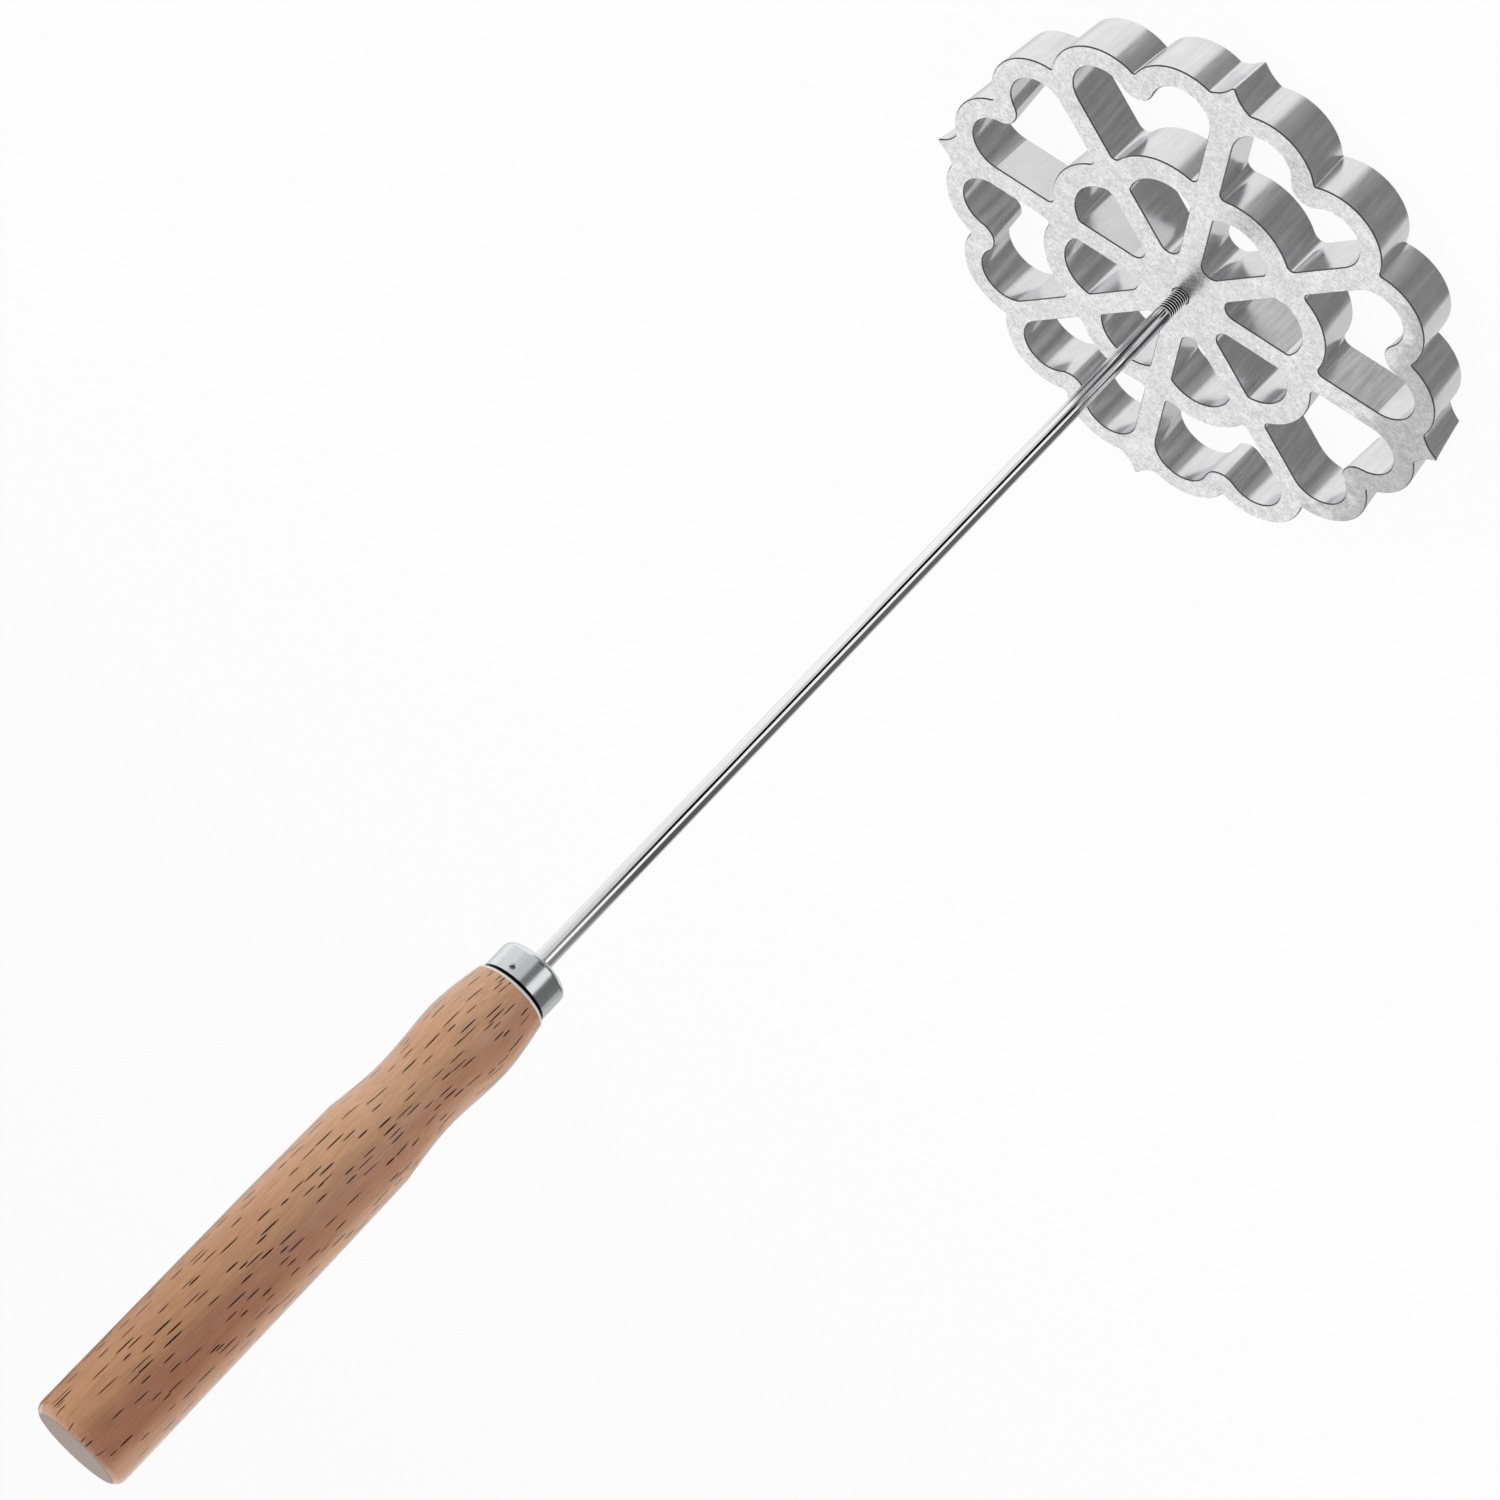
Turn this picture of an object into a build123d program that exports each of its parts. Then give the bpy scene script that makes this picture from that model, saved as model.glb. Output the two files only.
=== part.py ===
"""Rosette iron: a cast pastry mould on a long steel shank with a turned wooden handle.

Sizes are in millimetres and angles in degrees. The origin is the middle of the mould's lower
face, on which the iron stands, and +Z runs up the shank to the handle. The mould unscrews from
the shank, so that another pattern can take its place.
"""

from build123d import *
import math
import os

# Mould: sixteen lobes round eight cells, with walls that thin towards the lower face
mould_height = 12.0
wall_draft = 4.8
cell_count = 8
lobe_axis_radius = 50.5
lobe_radius = 13.4
web_width = 5.9
valley_fillet = 0.4
edge_break = 0.25

# Ears: four pointed ridges on the rim, one at the end of every second web
ear_count = 4
ear_reach = 3.4
ear_root_width = 10.0
ear_flank_hollow = 0.75
ear_tip_fillet = 0.6
ear_root_fillet = 1.2

# Cells between the ring and the rim, heart-shaped, with a lobe behind each outer lobe
rim_wall = 5.06
cell_nose_rise = 1.3
ring_reach = 37.4
ring_side_radius = 15.6
cell_corner_fillet = 1.3

# Eyes between the hub and the ring, each a wedge with a rounded outer side
ring_band = 6.0
eye_side_radius = 8.9
eye_tip_fillet = 2.6
eye_corner_fillet = 1.1

# Shank: a steel rod, threaded at the mould, with a plain tang in the handle
shank_diameter = 4.0
shank_free_length = 213.0
shank_end_chamfer = 0.4
tang_length = 45.0
thread_pitch = 0.7
thread_depth_share = 0.541
thread_crest_share = 0.125
thread_root_share = 0.25
thread_engaged_length = 8.4
thread_shown_length = 6.3
groove_overrun = 0.1

# Socket in the mould's hub, a plain bore that the thread's crests run in
socket_clearance = 0.05
socket_end_gap = 0.8
socket_mouth_chamfer = 0.3

# Ferrule: a drawn steel cap over the handle's tenon, dimpled to lock it there
ferrule_diameter = 15.1
ferrule_length = 7.3
ferrule_wall = 0.7
ferrule_edge_radius = 1.4
ferrule_hole_clearance = 0.1
ferrule_mouth_gap = 0.3
dimple_radius = 1.0
dimple_depth = 0.35
dimple_drop = 2.3
dimple_angle = 99.0

# Handle: a turned wooden grip with a swell, a waist and a shoulder behind the ferrule
handle_length = 115.0
neck_step = 0.55
neck_slope = 0.16
neck_edge_radius = 0.4
swell_diameter = 19.1
swell_height = 12.3
waist_diameter = 17.45
waist_height = 26.5
grip_start_diameter = 19.87
grip_start_height = 39.6
grip_start_slope = 0.13
grip_diameter = 20.25
grip_full_height = 62.0
butt_edge_radius = 2.1

# Inside the handle: the tenon under the ferrule and the bore for the tang
tenon_clearance = 0.05
tenon_end_gap = 0.3
glue_gap = 0.05
bore_end_gap = 2.0

# Heights along the axis
shank_foot = mould_height - thread_engaged_length
thread_top = mould_height + thread_shown_length
ferrule_foot = mould_height + shank_free_length
ferrule_top = ferrule_foot + ferrule_length
handle_foot = ferrule_top + ferrule_mouth_gap
handle_top = handle_foot + handle_length
shank_top = handle_foot + tang_length
tenon_foot = ferrule_foot + ferrule_wall + tenon_end_gap

# Places the pieces share
half_cell = 180 / cell_count
half_web = web_width / 2
web_apex = (half_web / math.sin(math.radians(half_cell)), 0)
shank_radius = shank_diameter / 2
ferrule_radius = ferrule_diameter / 2
cavity_radius = ferrule_radius - ferrule_wall


def polar(radius, angle):
    """The point at that radius and angle from the origin."""
    return (radius * math.cos(math.radians(angle)), radius * math.sin(math.radians(angle)))


def mirror_point(point):
    """The same point on the other side of X, the middle line of a cell, an eye or an ear."""
    return (point[0], -point[1])


def axis_distance(edge):
    """How far the middle of an edge lies from the iron's axis."""
    return math.hypot(edge.center().X, edge.center().Y)


def is_upright(edge):
    """Whether an edge of the mould runs from its lower face to its upper one."""
    return edge.bounding_box().size.Z > mould_height / 2


def is_lobe_arc(edge):
    """Whether an edge is the arc of one of the rim's lobes."""
    if edge.geom_type != GeomType.CIRCLE:
        return False
    off_centre = math.hypot(edge.arc_center.X, edge.arc_center.Y) - lobe_axis_radius
    return abs(off_centre) < edge_break


dimple_x, dimple_y = polar(ferrule_radius + dimple_radius - dimple_depth, dimple_angle)
dimple_place = (dimple_x, dimple_y, handle_foot - dimple_drop)

os.makedirs("parts", exist_ok=True)

# One ear on X, run back into the rim
lobe_x, lobe_y = polar(lobe_axis_radius, half_cell / 2)
half_root = ear_root_width / 2
ear_root = (lobe_x + math.sqrt(lobe_radius**2 - (lobe_y - half_root) ** 2), half_root)
ear_back = (lobe_axis_radius, half_root)
ear_point = (lobe_axis_radius + lobe_radius + ear_reach, 0)

with BuildSketch() as ear:
    with BuildLine():
        Line(mirror_point(ear_back), ear_back)
        Line(ear_back, ear_root)
        SagittaArc(ear_root, ear_point, -ear_flank_hollow)
        SagittaArc(ear_point, mirror_point(ear_root), -ear_flank_hollow)
        Line(mirror_point(ear_root), mirror_point(ear_back))
    make_face()

# One heart-shaped cell on X: two lobes, joined at the rim by a nose that bulges inward
lobe_spread = math.sin(math.radians(half_cell / 2))
cell_lobe_top = lobe_axis_radius + lobe_radius - rim_wall
cell_lobe_axis = (cell_lobe_top + half_web) / (1 + lobe_spread)
cell_lobe_x, cell_lobe_y = polar(cell_lobe_axis, half_cell / 2)
cell_lobe_radius = cell_lobe_y - half_web
step_x, step_y = polar(cell_lobe_radius, half_cell + 90)
lobe_start = (cell_lobe_x + step_x, cell_lobe_y + step_y)
lobe_far = polar(cell_lobe_top, half_cell / 2)
nose_spread = cell_nose_rise**2 + cell_lobe_y**2 - cell_lobe_radius**2
nose_radius = nose_spread / (2 * (cell_lobe_radius - cell_nose_rise))
nose_share = cell_lobe_radius / (cell_lobe_radius + nose_radius)
lobe_end = (
    cell_lobe_x + nose_share * (cell_nose_rise + nose_radius),
    cell_lobe_y * (1 - nose_share),
)
nose_tip = (cell_lobe_x + cell_nose_rise, 0)

with BuildSketch() as cell:
    with BuildLine():
        Line(web_apex, lobe_start)
        ThreePointArc(lobe_start, lobe_far, lobe_end)
        ThreePointArc(lobe_end, nose_tip, mirror_point(lobe_end))
        ThreePointArc(mirror_point(lobe_end), mirror_point(lobe_far), mirror_point(lobe_start))
        Line(mirror_point(lobe_start), web_apex)
    make_face()
    with Locations((ring_reach - ring_side_radius, 0)):
        Circle(ring_side_radius, mode=Mode.SUBTRACT)
    fillet(cell.vertices().group_by(Axis.X)[0], cell_corner_fillet)

# One eye on X: a wedge whose outer side is an arc from web edge to web edge
eye_reach = ring_reach - ring_band
eye_centre = eye_reach - eye_side_radius
centre_run, centre_rise = polar(eye_centre - web_apex[0], half_cell)
corner_run = centre_run + math.sqrt(eye_side_radius**2 - centre_rise**2)
corner_x, corner_y = polar(corner_run, half_cell)
eye_corner = (web_apex[0] + corner_x, corner_y)

with BuildSketch() as eye:
    with BuildLine():
        Line(web_apex, eye_corner)
        ThreePointArc(eye_corner, (eye_reach, 0), mirror_point(eye_corner))
        Line(mirror_point(eye_corner), web_apex)
    make_face()
    fillet(eye.vertices().sort_by(Axis.X)[0], eye_tip_fillet)
    fillet(eye.vertices().sort_by(Axis.Y)[0], eye_corner_fillet)
    fillet(eye.vertices().sort_by(Axis.Y)[-1], eye_corner_fillet)

with BuildPart() as mould:
    with BuildSketch():
        Circle(lobe_axis_radius)
        with PolarLocations(lobe_axis_radius, 2 * cell_count, start_angle=half_cell / 2):
            Circle(lobe_radius)
        with PolarLocations(0, ear_count):
            add(ear.sketch)
        with PolarLocations(0, cell_count, start_angle=half_cell):
            add(cell.sketch, mode=Mode.SUBTRACT)
            add(eye.sketch, mode=Mode.SUBTRACT)
    extrude(amount=mould_height)
    walls = mould.faces().filter_by(Axis.Z, reverse=True)
    draft(walls, Plane.XY.offset(mould_height), -wall_draft)

    # The rim's corners, from the axis outward: valleys between lobes, roots of ears, tips of ears
    valley_count = 2 * cell_count - ear_count
    outer_count = valley_count + 3 * ear_count
    corner_kinds = (
        (valley_count, valley_fillet),
        (2 * ear_count, ear_root_fillet),
        (ear_count, ear_tip_fillet),
    )
    for kind_count, kind_fillet in corner_kinds:
        corners = mould.edges().filter_by(is_upright).sort_by(axis_distance)[-outer_count:]
        fillet(corners[:kind_count], kind_fillet)
        outer_count -= kind_count

    # Both faces are broken all round, the corners' edges with the lobes they run into
    ends = mould.faces().filter_by(Axis.Z)
    hole_edges = [edge for end in ends for wire in end.inner_wires() for edge in wire.edges()]
    rim_edges = [edge for end in ends for edge in end.outer_wire().edges()]
    chamfer(hole_edges + [edge for edge in rim_edges if is_lobe_arc(edge)], edge_break)

    # The socket for the shank, open at the upper face only
    with Locations((0, 0, mould_height)):
        Hole(shank_radius + socket_clearance, depth=thread_engaged_length + socket_end_gap)
    mouth = mould.faces().sort_by(Axis.Z)[-1].edges().sort_by(axis_distance)[0]
    chamfer(mouth, socket_mouth_chamfer)
mould.part.label = "mould"
export_step(mould.part, "parts/mould.step")

# The thread's grooves, one ring to each pitch from the last shown turn down to the foot
thread_depth = thread_pitch * thread_depth_share
half_floor = thread_pitch * thread_root_share / 2
half_mouth = thread_pitch * (1 - thread_crest_share) / 2
groove_count = int((thread_top - shank_foot) / thread_pitch)
groove_places = [
    (shank_radius, thread_top - (number + 1 / 2) * thread_pitch) for number in range(groove_count)
]

with BuildPart() as shank:
    with Locations((0, 0, shank_foot)):
        Cylinder(
            shank_radius,
            shank_top - shank_foot,
            align=(Align.CENTER, Align.CENTER, Align.MIN),
        )
    chamfer(shank.edges().filter_by(GeomType.CIRCLE), shank_end_chamfer)
    with BuildSketch(Plane.XZ):
        with Locations(*groove_places):
            Polygon(
                (-thread_depth, -half_floor),
                (0, -half_mouth),
                (groove_overrun, -half_mouth),
                (groove_overrun, half_mouth),
                (0, half_mouth),
                (-thread_depth, half_floor),
                align=None,
            )
    revolve(axis=Axis.Z, mode=Mode.SUBTRACT)
shank.part.label = "shank"
export_step(shank.part, "parts/shank.step")

# The room inside the ferrule, with the dimple's bump standing into it
with BuildPart() as cavity:
    with BuildSketch(Plane.XZ):
        with BuildLine():
            Polyline(
                (0, ferrule_foot + ferrule_wall),
                (cavity_radius, ferrule_foot + ferrule_wall),
                (cavity_radius, ferrule_top + ferrule_wall),
                (0, ferrule_top + ferrule_wall),
                close=True,
            )
        make_face()
    revolve(axis=Axis.Z)
    floor_edge = cavity.edges().filter_by(GeomType.CIRCLE).sort_by(Axis.Z)[0]
    fillet(floor_edge, ferrule_edge_radius - ferrule_wall)
    with Locations(dimple_place):
        Sphere(dimple_radius + ferrule_wall, mode=Mode.SUBTRACT)

with BuildPart() as ferrule:
    with Locations((0, 0, ferrule_foot)):
        Cylinder(
            ferrule_radius,
            ferrule_length,
            align=(Align.CENTER, Align.CENTER, Align.MIN),
        )
    fillet(ferrule.edges().filter_by(GeomType.CIRCLE).sort_by(Axis.Z)[0], ferrule_edge_radius)
    add(cavity.part, mode=Mode.SUBTRACT)
    with Locations((0, 0, ferrule_foot + ferrule_wall)):
        Hole(shank_radius + ferrule_hole_clearance, depth=ferrule_wall)
    with Locations(dimple_place):
        Sphere(dimple_radius, mode=Mode.SUBTRACT)
ferrule.part.label = "ferrule"
export_step(ferrule.part, "parts/ferrule.step")

# Radii and heights along the side of the handle
neck = (ferrule_radius + neck_step, handle_foot)
swell = (swell_diameter / 2, handle_foot + swell_height)
waist = (waist_diameter / 2, handle_foot + waist_height)
grip_start = (grip_start_diameter / 2, handle_foot + grip_start_height)
grip_full = (grip_diameter / 2, handle_foot + grip_full_height)
tenon_radius = cavity_radius - tenon_clearance

with BuildPart() as handle:
    with BuildSketch(Plane.XZ):
        with BuildLine():
            Line((0, handle_top), (0, tenon_foot))
            Line((0, tenon_foot), (tenon_radius, tenon_foot))
            Line((tenon_radius, tenon_foot), (tenon_radius, handle_foot))
            Line((tenon_radius, handle_foot), neck)
            Spline(
                neck,
                swell,
                waist,
                grip_start,
                tangents=[(neck_slope, 1), (0, 1), (0, 1), (grip_start_slope, 1)],
            )
            Line(grip_start, grip_full)
            Line(grip_full, (grip_diameter / 2, handle_top))
            Line((grip_diameter / 2, handle_top), (0, handle_top))
        make_face()
    revolve(axis=Axis.Z)
    rings = handle.edges().filter_by(GeomType.CIRCLE)
    fillet(rings.group_by(Axis.Z)[-1], butt_edge_radius)
    fillet(rings.group_by(Axis.Z)[1].sort_by(SortBy.RADIUS)[-1], neck_edge_radius)
    chamfer(rings.group_by(Axis.Z)[0], ferrule_edge_radius - ferrule_wall)
    with Locations((0, 0, tenon_foot)):
        Cylinder(
            shank_radius + glue_gap,
            shank_top + bore_end_gap - tenon_foot,
            align=(Align.CENTER, Align.CENTER, Align.MIN),
            mode=Mode.SUBTRACT,
        )
    with Locations(dimple_place):
        Sphere(dimple_radius + ferrule_wall + tenon_clearance, mode=Mode.SUBTRACT)
handle.part.label = "handle"
export_step(handle.part, "parts/handle.step")
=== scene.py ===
"""Dresses the rosette iron: cast aluminium mould, steel shank and ferrule, lacquered beech handle.

Everything is in metres in the model's own frame: the origin is the middle of the mould's lower
face and +Z runs up the shank. Sizes in the materials are in millimetres.
"""

import math

import bpy
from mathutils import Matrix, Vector


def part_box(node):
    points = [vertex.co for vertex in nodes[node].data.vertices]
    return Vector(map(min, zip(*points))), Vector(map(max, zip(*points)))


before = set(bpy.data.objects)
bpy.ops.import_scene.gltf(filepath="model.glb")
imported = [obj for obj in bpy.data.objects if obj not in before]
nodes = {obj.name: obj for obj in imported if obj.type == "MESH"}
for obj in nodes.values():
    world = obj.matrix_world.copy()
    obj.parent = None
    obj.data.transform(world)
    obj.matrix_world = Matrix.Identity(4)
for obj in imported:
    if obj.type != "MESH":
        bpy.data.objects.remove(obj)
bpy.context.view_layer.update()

# Camera, at the photograph's angle: its place, its turns in degrees, its lens and sensor in mm
camera_place = (0.18586, 0.56151, 0.43099)
camera_turn = (-57.7263, 38.9926, 3.4198)
camera_lens = 78.75
sensor_width = 36.0

# Light: the place, the point aimed at, the width and height, and the power of each lamp
lamps = {
    "key": ((-1.05, 0.55, 0.55), (0, 0, 0.15), 0.9, 0.9, 5.6),
    "top": ((-0.3, -0.1, 1.4), (0, 0, 0), 1.2, 1.2, 4.5),
    "rim": ((1.0, -0.5, 0.5), (0, 0, 0.2), 0.5, 0.9, 4.2),
    "fill": ((0.5, 1.2, 0.5), (0, 0, 0.2), 1.0, 1.0, 2.0),
}

# The world's even light, and the floor
world_level = 0.3
floor_size = 60.0
floor_tone = (0.88, 0.88, 0.88, 1)
floor_glow_share = 0.95
white = (1, 1, 1, 1)

# What metal and lacquer mirror: a white tent with grey zones, each between two angles and two
# elevations in degrees, with how light it is and how soft its edge. Angles run from the open
# side of the tent, where the camera is, anticlockwise as seen from above. The zones of the
# rod, the ferrule and the grip show mostly in that piece.
open_side = 71.7
zones = {
    "room_above": (-110, 110, 15, 75, 0.50, 5),
    "room_behind": (-200, -103, -100, -38, 0.76, 6),
    "room_below": (-97, 6, -100, -38, 0.20, 2),
    "room_middle": (6, 24, -100, -38, 0.27, 2),
    "room_edge": (24, 38, -100, -38, 0.30, 2),
    "far_panel": (135, 170, -100, 5, 0.75, 4),
    "rod_behind": (-200, -125, -38, -21, 0.55, 4),
    "rod_wide_flag": (-125, -47, -38, -20, 0.13, 2),
    "rod_thin_flag": (-18, 11, -38, -20, 0.0, 2),
    "rod_near_panel": (9, 40, -38, -21, 0.70, 6),
    "ferrule_behind": (-200, -104, -21, -14, 0.48, 6),
    "ferrule_wide_flag": (-104, -46, -21, -11, 0.06, 5),
    "ferrule_thin_flag": (-15, 10, -21, -11, 0.24, 4),
    "ferrule_near_panel": (10, 60, -21, -11, 0.55, 6),
    "ferrule_side_panel": (60, 105, -21, -11, 0.72, 8),
    "grip_flag": (-78, 200, -12, 5, 0.12, 3),
}

# Millimetres in a metre
MM = 1000.0

# Places on the model, in millimetres
mould_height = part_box("mould")[1][2] * MM
shank_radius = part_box("shank")[1][0] * MM
ferrule_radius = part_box("ferrule")[1][0] * MM
ferrule_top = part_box("ferrule")[1][2] * MM
butt_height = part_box("handle")[1][2] * MM
thread_shown_length = 6.3
ferrule_mouth_gap = 0.3
thread_top = mould_height + thread_shown_length
neck_height = ferrule_top + ferrule_mouth_gap

# Noise patterns: how dense each is along x, y and z, its scale, its detail and its roughness
noises = {
    "cast_grain": ((1.0, 1.0, 1.0), 1.3, 5.0, 0.75),
    "cast_blotch": ((1.0, 1.0, 1.0), 0.45, 2.0, 0.5),
    "cast_cloud": ((1.0, 1.0, 1.0), 0.12, 4.0, 0.6),
    "wall_streak": ((1.0, 1.0, 0.05), 0.9, 4.0, 0.5),
    "shank_line": ((1.0, 1.0, 0.01), 5.0, 3.0, 0.5),
    "shank_reflection_streak": ((1.0, 1.0, 0.01), 1.9, 1.0, 0.5),
    "ferrule_line": ((0.04, 0.04, 1.0), 3.0, 3.0, 0.5),
    "beech_line": ((1.0, 1.0, 0.08), 2.2, 4.0, 0.6),
    "beech_wave": ((1.0, 1.0, 0.12), 0.16, 2.0, 0.5),
    "beech_cloud": ((1.0, 1.0, 0.25), 0.6, 3.0, 0.6),
    "end_pore": ((1.0, 1.0, 1.0), 2.5, 3.0, 0.7),
}

# How far to each side of its middle a noise is read. In the materials below, a pair called
# tones or roughness is what the noise gives at its low end and at its high end.
noise_middle = 0.5
usual_reach = 0.2
fine_reach = 0.15
grain_reach = 0.14

# How upright a normal is where a flat face, or a broken edge, begins and is full
face_upright = (0.85, 0.97)
edge_upright = (0.3, 0.5)

# Cast aluminium
aluminium = (0.79, 0.79, 0.80, 1)
face_metallic = 0.8
wall_metallic = 0.88
grain_tones = (0.78, 1.20)
blotch_tones = (0.93, 1.05)
streak_tones = (0.93, 1.05)
cloud_tones = (0.96, 1.03)
# Broken edges are darkened by painted shade, for dark outlines round the faces
edge_painted_shade = 0.15
face_roughness = (0.20, 0.29)
wall_roughness = (0.17, 0.27)
face_relief = 0.03
wall_relief = 0.012

# The patch on the mould's faces, rougher and darkened by painted shade: its border by X, and how far
# the border wanders
patch_from = 44.0
patch_to = 54.0
patch_wander = 9.0
patch_painted_shade = 0.71
patch_added_roughness = 0.20
patch_relief = 0.08

# How far the fine drawn lines of both steels stand out
drawn_relief = 0.004

# Polished steel of the shank
polished = (0.92, 0.92, 0.93, 1)
shank_tones = (0.88, 1.06)
shank_roughness = (0.04, 0.08)

# The thread's grooves get painted shade, darker from their mouths in, and the plain rod starts just
# above them
groove_painted_shade = 0.02
groove_mouth_depth = 0.02
groove_shade_depth = 0.16
groove_mouth_radius = shank_radius - groove_mouth_depth
groove_shade_radius = shank_radius - groove_shade_depth
thread_end_gap = 0.2
thread_end_fade = 0.2
plain_from = thread_top + thread_end_gap
plain_to = plain_from + thread_end_fade

# Dark streaks low on the shank, a painted reflection: how far above the mould they stay full,
# over what length they fade out, and what part of their noise they run over
reflection_streak_length = 23.0
reflection_streak_fade = 40.0
reflection_streak_from = mould_height + reflection_streak_length
reflection_streak_to = reflection_streak_from + reflection_streak_fade
reflection_streak_band = (0.44, 0.53)
reflection_streak_tones = (0.10, 1.10)

# Satin steel of the ferrule, with a dark ring of painted shade at its mouth, round the wood
satin = (0.80, 0.81, 0.82, 1)
ferrule_tones = (0.96, 1.03)
ferrule_roughness = (0.16, 0.22)
mouth_painted_shade = 0.005
ring_height = 0.47
ring_fade = 0.08
ring_to = ferrule_top - ring_height
ring_from = ring_to - ring_fade

# The dimple is a ball's print in the ferrule's side: the ball, and the painted shade on its floor
dimple_radius = 1.0
dimple_depth = 0.35
dimple_drop = 2.3
dimple_angle = math.radians(99.0)
dimple_reach = ferrule_radius + dimple_radius - dimple_depth
dimple_middle = (
    dimple_reach * math.cos(dimple_angle),
    dimple_reach * math.sin(dimple_angle),
    neck_height - dimple_drop,
)
dimple_inner_margin = 0.02
dimple_outer_margin = 0.08
dimple_painted_shade = 0.06
dimple_light_depth = 0.15
dimple_shade_depth = 0.30

# Beech, near the neck and near the butt, each plain and in its redder, darker stripe, which is
# partly the wood's own colour and partly painted shade
beech_at_neck = (0.715, 0.396, 0.225, 1)
beech_at_butt = (0.625, 0.318, 0.162, 1)
stripe_and_shade_at_neck = (0.59, 0.297, 0.176, 1)
stripe_and_shade_at_butt = (0.50, 0.218, 0.120, 1)
neck_colour_length = 32.4
butt_colour_length = 22.6
beech_line_tones = (0.87, 1.12)
beech_wave_tones = (0.96, 1.04)
beech_cloud_tones = (0.94, 1.06)
beech_line_relief = 0.01

# The stripe: the angle of its middle, its repeats round the handle, how far it wobbles in
# radians, and the cosines at which it starts and is full. A pair is for the neck and the butt.
stripe_angles = (math.radians(54.0), math.radians(38.0))
stripe_count = 2.0
stripe_wobble = 0.12
stripe_start = (0.55, 0.2)
stripe_full = 0.97

# Flecks of the beech: the radius at which the handle's side is unrolled, the cells round and
# along it, and the sizes, where a pair runs from the least to the most
fleck_colour = (0.018, 0.004, 0.002, 1)
unrolled_radius = 10.0
fleck_gap = 1.5
fleck_step = 6.5
fleck_half_lengths = (1.0, 2.6)
fleck_half_widths = (0.09, 0.18)
fleck_taper = 3.0
fleck_edge = 0.01
fleck_slant = 0.05
fleck_missing_share = 0.32
fleck_relief = 0.03

# Lacquer, with a pale painted highlight at the neck's edge, and the butt's end grain. Here a pair
# called roughness or weights is for the side of the handle and for the end grain.
neck_highlight_colour = (0.95, 0.92, 0.88, 1)
neck_highlight_height = 0.55
neck_highlight_fade = 0.2
end_grain = (0.40, 0.30, 0.245, 1)
pore_tones = (0.90, 1.04)
beech_roughness = (0.45, 0.6)
beech_specular = 0.2
lacquer_weights = (1.0, 0.2)
lacquer_roughness = 0.22

# The Mix node's sockets for each kind of data: its two inputs and its output
mix_sockets = {"FLOAT": (2, 3, 0), "RGBA": (6, 7, 2)}


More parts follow.
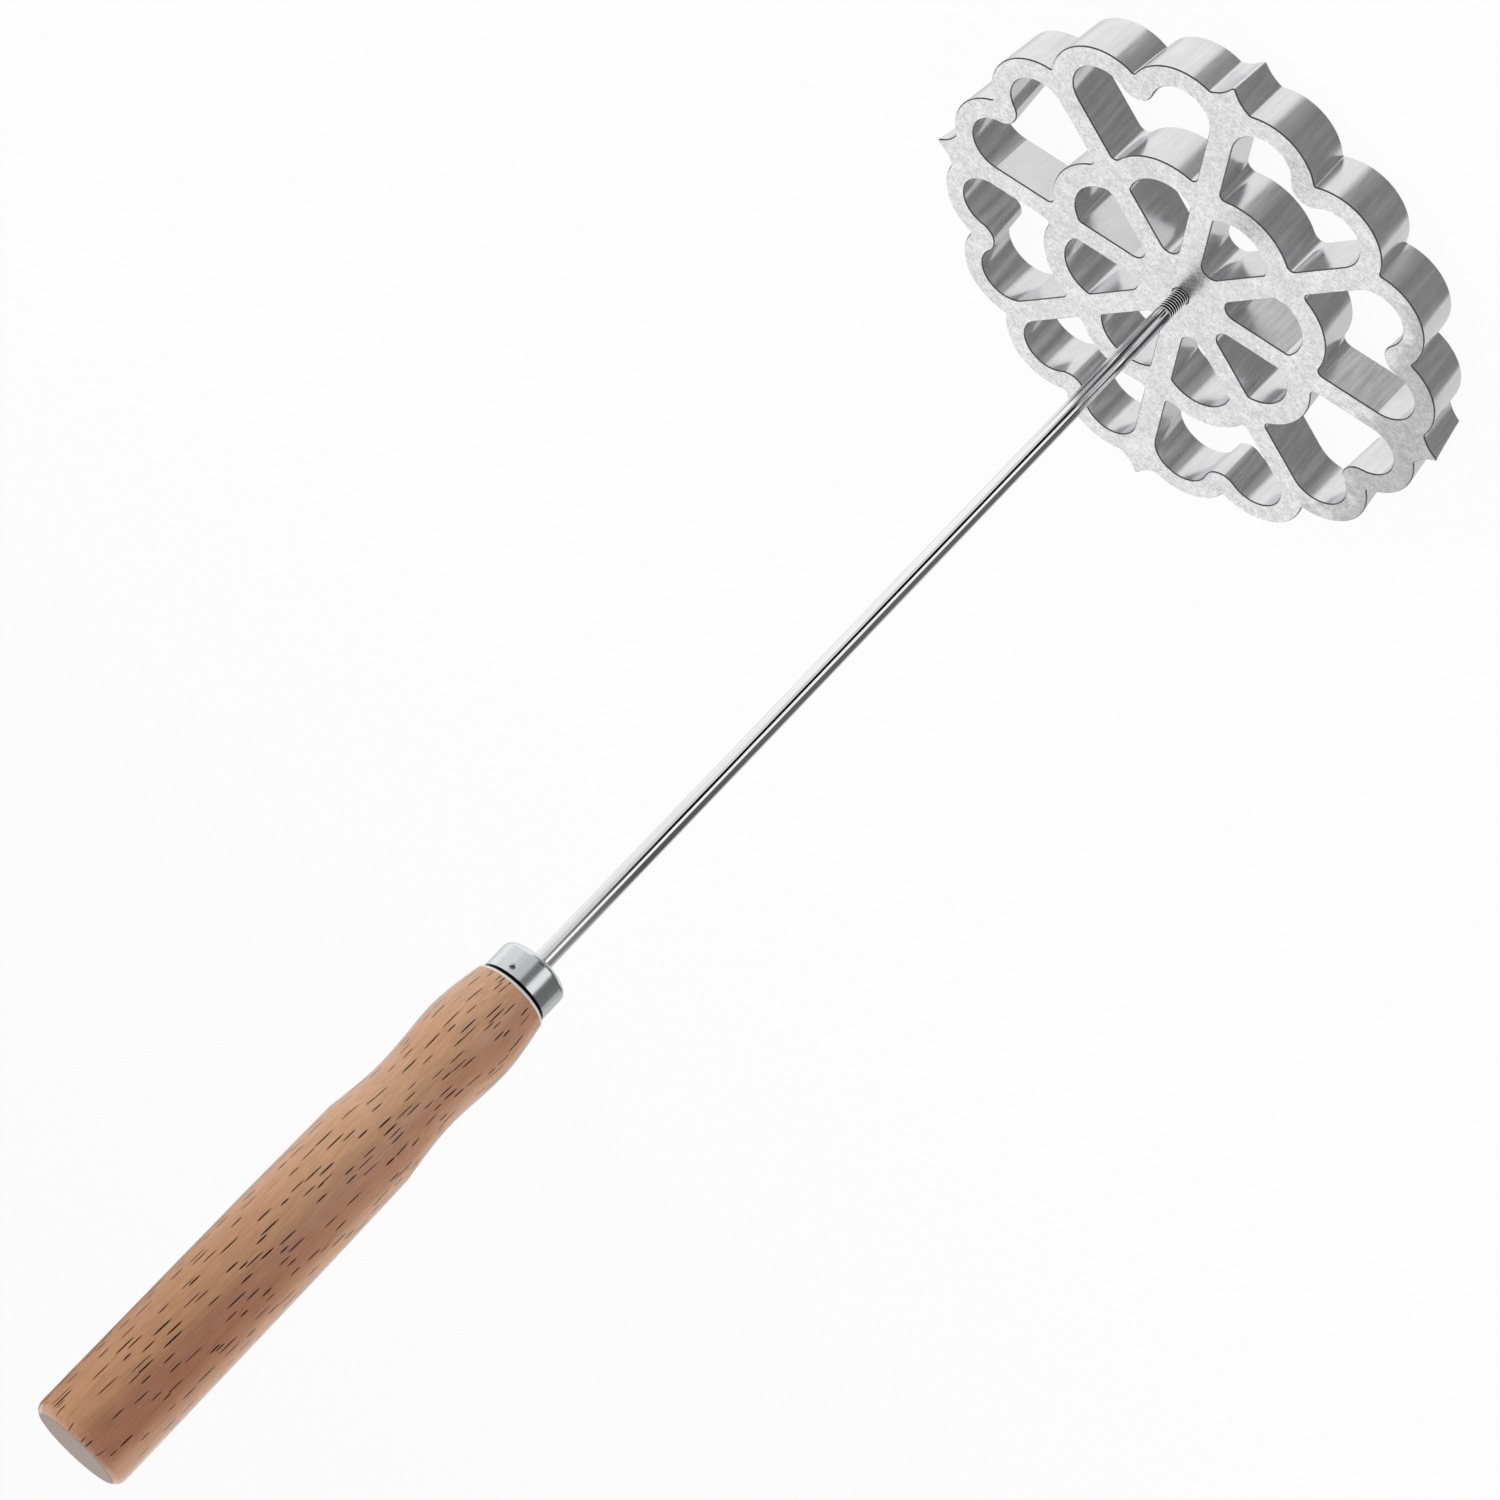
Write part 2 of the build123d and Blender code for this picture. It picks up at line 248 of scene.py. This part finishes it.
class Graph:
    """A node tree being built: each call adds one node or a few, and gives the socket to pass on."""

    def __init__(self, owner):
        owner.use_nodes = True
        self.tree = owner.node_tree
        self.tree.nodes.clear()

    def node(self, kind, inputs=(), **settings):
        made = self.tree.nodes.new(kind)
        for key, value in settings.items():
            setattr(made, key, value)
        for key, value in dict(inputs).items():
            self.put(made.inputs[key], value)
        return made

    def put(self, socket, value):
        if isinstance(value, bpy.types.NodeSocket):
            self.tree.links.new(value, socket)
        else:
            socket.default_value = value

    def math(self, operation, *values, clamp=False):
        settings = {"operation": operation, "use_clamp": clamp}
        return self.node("ShaderNodeMath", enumerate(values), **settings).outputs[0]

    def times(self, product, *factors):
        """All the values multiplied together."""
        for factor in factors:
            product = self.math("MULTIPLY", product, factor)
        return product

    def rest(self, share):
        """What a share leaves of one."""
        return self.math("SUBTRACT", 1.0, share)

    def vector(self, operation, *values):
        return self.node("ShaderNodeVectorMath", enumerate(values), operation=operation).outputs[0]

    def vector_length(self, vector):
        return self.node("ShaderNodeVectorMath", {0: vector}, operation="LENGTH").outputs["Value"]

    def scaled(self, vector, sizes):
        return self.vector("MULTIPLY", vector, sizes)

    def split(self, vector):
        return self.node("ShaderNodeSeparateXYZ", {0: vector}).outputs

    def join(self, x, y, z):
        return self.node("ShaderNodeCombineXYZ", {0: x, 1: y, 2: z}).outputs[0]

    def noise(self, place, name):
        """One of the noise patterns, at that place."""
        density, scale, detail, roughness = noises[name]
        inputs = {
            "Vector": self.scaled(place, density),
            "Scale": scale,
            "Detail": detail,
            "Roughness": roughness,
        }
        return self.node("ShaderNodeTexNoise", inputs).outputs[0]

    def span(self, value, low, high, to_low=0.0, to_high=1.0, smooth=True):
        """value from low to high becomes to_low to to_high, and stops there."""
        inputs = {0: value, 1: low, 2: high, 3: to_low, 4: to_high}
        kind = "SMOOTHSTEP" if smooth else "LINEAR"
        return self.node("ShaderNodeMapRange", inputs, interpolation_type=kind).outputs[0]

    def vary(self, noise, lowest, highest, reach=usual_reach, smooth=False):
        """A noise, read round its middle, becomes lowest to highest."""
        return self.span(noise, noise_middle - reach, noise_middle + reach, lowest, highest, smooth)

    def mixed(self, kind, share, first, second, **settings):
        """The Mix node for one kind of data."""
        first_input, second_input, output = mix_sockets[kind]
        inputs = {0: share, first_input: first, second_input: second}
        return self.node("ShaderNodeMix", inputs, data_type=kind, **settings).outputs[output]

    def mix(self, share, first, second):
        """first at share 0 and second at share 1, for colours."""
        return self.mixed("RGBA", share, first, second)

    def blend(self, share, first, second):
        """first at share 0 and second at share 1, for plain numbers."""
        return self.mixed("FLOAT", share, first, second)

    def shade(self, colour, factor):
        """colour made lighter or darker by a factor."""
        grey = self.join(factor, factor, factor)
        return self.mixed("RGBA", 1.0, colour, grey, blend_type="MULTIPLY")

    def bump(self, height):
        """The normal of a surface that stands out by height, in millimetres."""
        inputs = {"Height": height, "Distance": 1 / MM, "Strength": 1.0}
        return self.node("ShaderNodeBump", inputs).outputs[0]

    def finish(self, surface, kind="ShaderNodeOutputMaterial"):
        self.node(kind, {"Surface": surface})


def place_in_mm(graph):
    """The point on the surface in the model's frame, in millimetres."""
    coordinates = graph.node("ShaderNodeTexCoord").outputs["Object"]
    return graph.scaled(coordinates, (MM, MM, MM))


def facing_up(graph):
    """The vertical part of the surface's own normal."""
    normal = graph.node("ShaderNodeTexCoord").outputs["Normal"]
    return graph.split(normal)[2]


def off_axis(graph, place):
    """How far a place lies from the axis of the shank."""
    return graph.vector_length(graph.scaled(place, (1.0, 1.0, 0.0)))


def along_handle(graph, height, at_neck, at_butt):
    """A value that changes evenly from the neck to the butt."""
    return graph.span(height, neck_height, butt_height, at_neck, at_butt, smooth=False)


def principled(graph, **inputs):
    named = {key.replace("_", " "): value for key, value in inputs.items()}
    return graph.node("ShaderNodeBsdfPrincipled", named).outputs[0]


def dress(name, look):
    """Gives a node of the model the material that the function look builds, named after it."""
    material = bpy.data.materials.new(look.__name__)
    graph = Graph(material)
    graph.finish(look(graph, place_in_mm(graph)))
    slots = nodes[name].data.materials
    slots.clear()
    slots.append(material)


def cast_aluminium(graph, place):
    """Mottled cast faces, a rougher patch near one side darkened by painted shade, smooth walls, and
    broken edges darkened by painted shade.
    """
    upright = graph.math("ABSOLUTE", facing_up(graph))
    face = graph.span(upright, *face_upright)
    edge = graph.times(graph.span(upright, *edge_upright), graph.rest(face))
    grain = graph.noise(place, "cast_grain")
    blotch = graph.noise(place, "cast_blotch")
    cloud = graph.noise(place, "cast_cloud")
    streak = graph.noise(place, "wall_streak")

    # The patch has a wavy border, a coarser grain, and a darker tone that is painted shade
    border = graph.math("ADD", graph.split(place)[0], graph.vary(cloud, -patch_wander, patch_wander))
    patch = graph.times(graph.span(border, patch_from, patch_to), face)

    face_tone = graph.times(
        graph.vary(grain, *grain_tones, reach=grain_reach),
        graph.vary(blotch, *blotch_tones, smooth=True),
        graph.blend(patch, 1.0, patch_painted_shade),
    )
    tone = graph.blend(face, graph.vary(streak, *streak_tones), face_tone)
    # Painted shade on the broken edges; elsewhere the cloud varies the tone at random
    cloud_tone = graph.vary(cloud, *cloud_tones, reach=fine_reach)
    tone = graph.times(tone, graph.blend(edge, cloud_tone, edge_painted_shade))

    wall_rough = graph.vary(streak, *wall_roughness)
    face_rough = graph.vary(grain, *face_roughness, reach=grain_reach)
    face_rough = graph.math("ADD", face_rough, graph.times(patch, patch_added_roughness))
    wall_height = graph.times(streak, wall_relief)
    face_height = graph.times(grain, graph.blend(patch, face_relief, patch_relief))
    return principled(
        graph,
        Base_Color=graph.shade(aluminium, tone),
        Metallic=graph.span(face, 0.0, 1.0, wall_metallic, face_metallic),
        Roughness=graph.blend(face, wall_rough, face_rough),
        Normal=graph.bump(graph.blend(face, wall_height, face_height)),
    )


def polished_steel(graph, place):
    """A polished rod: faint lines along it, dark streaks low down that are a painted reflection, and
    thread grooves darkened by painted shade.
    """
    height = graph.split(place)[2]
    plain = graph.span(height, plain_from, plain_to)
    radius = off_axis(graph, place)
    # Painted shade in the thread's grooves, from their mouths in
    groove_shade = graph.span(radius, groove_shade_radius, groove_mouth_radius, groove_painted_shade, 1.0)
    line = graph.noise(place, "shank_line")
    # Painted reflection: dark streaks low on the shank, fading out upward
    reflection_noise = graph.noise(place, "shank_reflection_streak")
    reflection_share = graph.times(graph.span(height, reflection_streak_from, reflection_streak_to, 1.0, 0.0), plain)
    tone = graph.times(
        graph.vary(line, *shank_tones),
        graph.blend(plain, groove_shade, 1.0),
        graph.blend(reflection_share, 1.0, graph.span(reflection_noise, *reflection_streak_band, *reflection_streak_tones)),
    )
    return principled(
        graph,
        Base_Color=graph.shade(polished, tone),
        Metallic=1.0,
        Roughness=graph.vary(line, *shank_roughness),
        Normal=graph.bump(graph.times(line, drawn_relief)),
    )


def satin_steel(graph, place):
    """A drawn cap with faint lines round it, with painted shade in its dimple and at its mouth."""
    height = graph.split(place)[2]
    line = graph.noise(place, "ferrule_line")
    # Painted shade in a ring at the mouth, where the wood meets the ferrule
    mouth_shade = graph.span(height, ring_from, ring_to, 1.0, mouth_painted_shade)
    away = graph.vector_length(graph.vector("SUBTRACT", place, dimple_middle))
    near_dimple = graph.span(
        away,
        dimple_radius - dimple_inner_margin,
        dimple_radius + dimple_outer_margin,
        1.0,
        0.0,
    )
    # Painted shade on the dimple's floor
    dimple_shade = graph.span(
        off_axis(graph, place),
        ferrule_radius - dimple_shade_depth,
        ferrule_radius - dimple_light_depth,
        dimple_painted_shade,
        1.0,
    )
    tone = graph.times(
        graph.vary(line, *ferrule_tones),
        mouth_shade,
        graph.blend(near_dimple, 1.0, dimple_shade),
    )
    return principled(
        graph,
        Base_Color=graph.shade(satin, tone),
        Metallic=1.0,
        Roughness=graph.vary(line, *ferrule_roughness),
        Normal=graph.bump(graph.times(line, drawn_relief)),
    )


def beech_flecks(graph, around, height):
    """Short dark dashes, one slightly slanted dash in most cells of a stretched cell pattern."""
    unrolled = graph.join(around, height, 0.0)
    stretched = graph.scaled(unrolled, (1 / fleck_gap, 1 / fleck_step, 0.0))
    cells = graph.node(
        "ShaderNodeTexVoronoi",
        {"Vector": stretched, "Scale": 1.0, "Randomness": 1.0},
        voronoi_dimensions="2D",
    )
    off = graph.vector("SUBTRACT", stretched, cells.outputs["Position"])
    off_around, off_height, _ = graph.split(graph.scaled(off, (fleck_gap, fleck_step, 0.0)))
    off_around = graph.math("ADD", off_around, graph.times(off_height, fleck_slant))
    chance, size, girth = graph.split(cells.outputs["Color"])
    half_length = graph.span(size, 0.0, 1.0, *fleck_half_lengths, smooth=False)
    along = graph.math("DIVIDE", graph.math("ABSOLUTE", off_height), half_length)
    taper = graph.math("SUBTRACT", 1.0, graph.math("POWER", along, fleck_taper), clamp=True)
    widest = graph.span(girth, 0.0, 1.0, *fleck_half_widths, smooth=False)
    inside = graph.math("SUBTRACT", graph.times(taper, widest), graph.math("ABSOLUTE", off_around))
    fleck = graph.span(inside, -fleck_edge, fleck_edge)
    whole = graph.math("LESS_THAN", along, 1.0)
    kept = graph.math("GREATER_THAN", chance, fleck_missing_share)
    return graph.times(fleck, whole, kept)


def lacquered_beech(graph, place):
    """Beech with short dark flecks along its grain and pale end grain, under a satin lacquer."""
    x, y, height = graph.split(place)
    end = graph.span(facing_up(graph), *face_upright)

    # Round and along the handle, with the seam at the back
    angle = graph.math("ARCTAN2", x, y)
    fleck = beech_flecks(graph, graph.times(angle, unrolled_radius), height)
    fleck = graph.times(fleck, graph.rest(end))

    # Grain: fine soft lines, slow changes along the piece, and a redder, darker stripe on two sides,
    # part wood colour and part painted shade
    line = graph.noise(place, "beech_line")
    wave = graph.noise(place, "beech_wave")
    cloud = graph.noise(place, "beech_cloud")
    tone = graph.times(
        graph.vary(line, *beech_line_tones),
        graph.vary(wave, *beech_wave_tones),
        graph.vary(cloud, *beech_cloud_tones),
    )
    turned = graph.math("SUBTRACT", angle, along_handle(graph, height, *stripe_angles))
    turned = graph.math("ADD", turned, graph.vary(wave, -stripe_wobble, stripe_wobble))
    stripe = graph.math("COSINE", graph.times(turned, stripe_count))
    stripe = graph.span(stripe, along_handle(graph, height, *stripe_start), stripe_full)
    near_neck = graph.mix(stripe, beech_at_neck, stripe_and_shade_at_neck)
    near_butt = graph.mix(stripe, beech_at_butt, stripe_and_shade_at_butt)
    change = graph.span(height, neck_height + neck_colour_length, butt_height - butt_colour_length)
    side = graph.shade(graph.mix(change, near_neck, near_butt), tone)
    side = graph.mix(fleck, side, fleck_colour)

    # The neck's edge with its pale painted highlight, and the pores of the end grain
    neck_highlight_to = neck_height + neck_highlight_height
    neck_highlight = graph.span(height, neck_highlight_to, neck_highlight_to + neck_highlight_fade, 1.0, 0.0)
    side = graph.mix(neck_highlight, side, neck_highlight_colour)
    pore = graph.noise(place, "end_pore")
    end_colour = graph.shade(end_grain, graph.vary(pore, *pore_tones, reach=fine_reach))

    line_height = graph.times(line, beech_line_relief)
    fleck_depth = graph.times(fleck, fleck_relief)
    return principled(
        graph,
        Base_Color=graph.mix(end, side, end_colour),
        Roughness=graph.span(end, 0.0, 1.0, *beech_roughness),
        Normal=graph.bump(graph.math("SUBTRACT", line_height, fleck_depth)),
        Specular_IOR_Level=beech_specular,
        Coat_Weight=graph.span(end, 0.0, 1.0, *lacquer_weights),
        Coat_Roughness=lacquer_roughness,
    )


def seen_rays(graph):
    """1 for rays that show what lies behind the object: camera, mirror and see-through rays."""
    path = graph.node("ShaderNodeLightPath").outputs
    seen = graph.math("MAXIMUM", path["Is Camera Ray"], path["Is Glossy Ray"])
    return graph.math("MAXIMUM", seen, path["Is Transmission Ray"])


def add_object(name, data):
    """Puts a new object with that data into the scene."""
    made = bpy.data.objects.new(name, data)
    bpy.context.scene.collection.objects.link(made)
    return made


def make_floor():
    """A floor that looks nearly white to the camera and keeps a soft shadow."""
    half = floor_size / 2
    corners = [(-half, -half, 0), (half, -half, 0), (half, half, 0), (-half, half, 0)]
    mesh = bpy.data.meshes.new("floor")
    mesh.from_pydata(corners, [], [(0, 1, 2, 3)])
    floor = add_object("floor", mesh)
    material = bpy.data.materials.new("floor")
    graph = Graph(material)
    plain = graph.node("ShaderNodeBsdfDiffuse", {"Color": floor_tone}).outputs[0]
    glow = graph.node("ShaderNodeEmission", {"Color": white, "Strength": 1.0}).outputs[0]
    share = graph.times(seen_rays(graph), floor_glow_share)
    surface = graph.node("ShaderNodeMixShader", {0: share, 1: plain, 2: glow}).outputs[0]
    graph.finish(surface)
    mesh.materials.append(material)
    floor.visible_glossy = False


def zone_mask(graph, value, low, high, edge):
    """1 where value lies between low and high, with a soft edge."""
    rise = graph.span(value, low - edge, low + edge)
    fall = graph.span(value, high - edge, high + edge, 1.0, 0.0)
    return graph.times(rise, fall)


def make_world():
    """White where it is seen, a soft even light on everything, and the tent in mirrors."""
    world = bpy.data.worlds.new("studio")
    bpy.context.scene.world = world
    graph = Graph(world)
    path = graph.node("ShaderNodeLightPath").outputs
    x, y, z = graph.split(graph.node("ShaderNodeTexCoord").outputs["Generated"])
    turn = graph.math("ARCTAN2", y, x)
    turn = graph.math("SUBTRACT", turn, math.radians(open_side))
    turn = graph.math("WRAP", turn, math.pi, -math.pi)
    angle = graph.math("DEGREES", turn)
    elevation = graph.math("DEGREES", graph.math("ARCSINE", z))
    tent = 1.0
    for from_angle, to_angle, from_elevation, to_elevation, level, edge in zones.values():
        across = zone_mask(graph, angle, from_angle, to_angle, edge)
        upward = zone_mask(graph, elevation, from_elevation, to_elevation, edge)
        darker = graph.times(across, upward, 1 - level)
        tent = graph.times(tent, graph.rest(darker))
    mirrored = graph.times(path["Is Glossy Ray"], tent)
    seen = graph.math("MAXIMUM", path["Is Camera Ray"], path["Is Transmission Ray"])
    seen = graph.math("MAXIMUM", seen, mirrored)
    strength = graph.math("MAXIMUM", seen, graph.times(path["Is Diffuse Ray"], world_level))
    surface = graph.node("ShaderNodeBackground", {"Color": white, "Strength": strength}).outputs[0]
    graph.finish(surface, "ShaderNodeOutputWorld")


def make_lamp(name, place, target, width, height, power):
    light = bpy.data.lights.new(name, "AREA")
    light.shape = "RECTANGLE"
    light.size = width
    light.size_y = height
    light.energy = power
    lamp = add_object(name, light)
    lamp.location = place
    lamp.visible_glossy = False
    aim = Vector(target) - Vector(place)
    lamp.rotation_euler = aim.to_track_quat("-Z", "Y").to_euler()


def make_camera():
    view = bpy.data.cameras.new("camera")
    view.sensor_width = sensor_width
    view.lens = camera_lens
    view.clip_end = 2 * floor_size
    camera = add_object("camera", view)
    camera.location = camera_place
    camera.rotation_euler = [math.radians(angle) for angle in camera_turn]
    bpy.context.scene.camera = camera


dress("mould", cast_aluminium)
dress("shank", polished_steel)
dress("ferrule", satin_steel)
dress("handle", lacquered_beech)

make_floor()
make_world()
for lamp_name, lamp_facts in lamps.items():
    make_lamp(lamp_name, *lamp_facts)
make_camera()
bpy.context.scene.view_settings.view_transform = "Standard"
